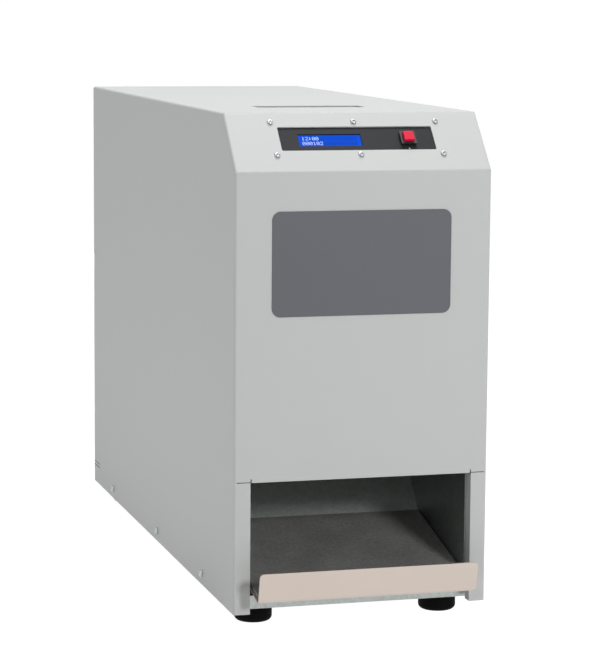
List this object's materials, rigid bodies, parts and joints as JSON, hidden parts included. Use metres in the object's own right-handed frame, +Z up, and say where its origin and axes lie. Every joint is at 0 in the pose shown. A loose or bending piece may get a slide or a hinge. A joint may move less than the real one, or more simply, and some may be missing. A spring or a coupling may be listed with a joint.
{
  "type": "hard drive degausser",
  "caption": "Free-standing grey steel cabinet with a sloped display panel, a drive slot in its top, a pulse coil with a drop gate inside and a matted exit ramp at the front.",
  "frame": {"origin": "on the floor under the middle of the whole machine, lip and fan guard included", "axes": "+Z up, -Y out of the front, +X to the right of someone facing the front"},
  "size_m": [0.265, 0.7466, 0.506],
  "materials": {
    "cover_paint": "fine-grained satin powder coat",
    "galvanised_sheet": "galvanised, faint spangle",
    "stainless_sheet": "mill-finish stainless",
    "foot_rubber": "moulded black rubber",
    "mat_rubber": "ribless dark mat",
    "zinc_fasteners": "zinc plated",
    "panel_black": "matt black panel",
    "printed_film": "grey screen-printed film",
    "black_moulding": "moulded black",
    "lcd_blue": "blue transmissive display",
    "red_cap": "moulded red",
    "rocker_black": "moulded black",
    "circuit_board": "green solder mask",
    "glass_epoxy": "woven glass epoxy",
    "copper": "enamelled copper",
    "can_aluminium": "drawn aluminium",
    "core_steel": "varnished laminations",
    "bright_steel": "bright steel",
    "bearing_bronze": "sintered bronze",
    "pin_brass": "nickelled brass",
    "cable_black": "rubber-sheathed cable"
  },
  "bodies": {
    "cabinet": {"base_pan": "galvanised_sheet", "bay_roof": "galvanised_sheet", "bay_wall_left": "galvanised_sheet", "bay_wall_right": "galvanised_sheet", "board_standoffs": "zinc_fasteners", "bus_bars": "copper", "capacitor_1": "can_aluminium", "capacitor_2": "can_aluminium", "capacitor_3": "can_aluminium", "capacitor_4": "can_aluminium", "capacitor_bracket": "galvanised_sheet", "charger_board": "circuit_board", "chute_plate": "stainless_sheet", "coil_bottom_plate": "glass_epoxy", "coil_former": "glass_epoxy", "coil_leads": "cable_black", "coil_tie_rods": "zinc_fasteners", "coil_top_plate": "glass_epoxy", "coil_winding": "copper", "control_board": "circuit_board", "control_panel": "panel_black", "cover_screws": "zinc_fasteners", "electronics_bridge": "galvanised_sheet", "exit_ramp": "stainless_sheet", "fan_frame": "black_moulding", "fan_guard": "bright_steel", "feed_throat": "black_moulding", "foot_front_left": "foot_rubber", "foot_front_right": "foot_rubber", "foot_rear_left": "foot_rubber", "foot_rear_right": "foot_rubber", "foot_screws": "zinc_fasteners", "front_plate": "printed_film", "gate_bearings": "bearing_bronze", "gate_motor": "bright_steel", "gate_motor_bracket": "galvanised_sheet", "heat_sink": "can_aluminium", "inlet_pins": "pin_brass", "lcd_bezel": "black_moulding", "lcd_board": "circuit_board", "lcd_glass": "lcd_blue", "lcd_posts": "zinc_fasteners", "outer_cover": "cover_paint", "panel_screws": "zinc_fasteners", "power_inlet": "black_moulding", "ramp_mat": "mat_rubber", "ramp_rails": "galvanised_sheet", "rear_panel": "cover_paint", "rear_screws": "zinc_fasteners", "start_switch": "black_moulding", "switch_frame": "black_moulding", "terminal_bolts": "zinc_fasteners", "thyristor_module": "black_moulding", "transformer_core": "core_steel", "transformer_winding": "copper"},
    "start_button": {"start_button": "red_cap"},
    "gate": {"drop_gate": "stainless_sheet", "gate_shaft": "bright_steel"},
    "rocker": {"power_rocker": "rocker_black"},
    "fan_rotor": {"fan_rotor": "black_moulding"}
  },
  "joints": [
    {"name": "start_press", "type": "slide", "parent": "cabinet", "child": "start_button", "axis": [0, 0.7282, -0.6854], "range_m": [0, 0.003], "stiffness_N_per_m": 600},
    {"name": "gate_swing", "type": "hinge", "parent": "cabinet", "child": "gate", "pos_m": [-0.0105, -0.14597, 0.204], "axis": [1, 0, 0], "range_deg": [0, 80]},
    {"name": "rocker_tilt", "type": "hinge", "parent": "cabinet", "child": "rocker", "pos_m": [0, 0.36433, 0.223], "axis": [-1, 0, 0], "range_deg": [0, 16]},
    {"name": "fan_spin", "type": "hinge", "parent": "cabinet", "child": "fan_rotor", "pos_m": [0, 0.35183, 0.386], "axis": [0, 1, 0], "continuous": true}
  ]
}
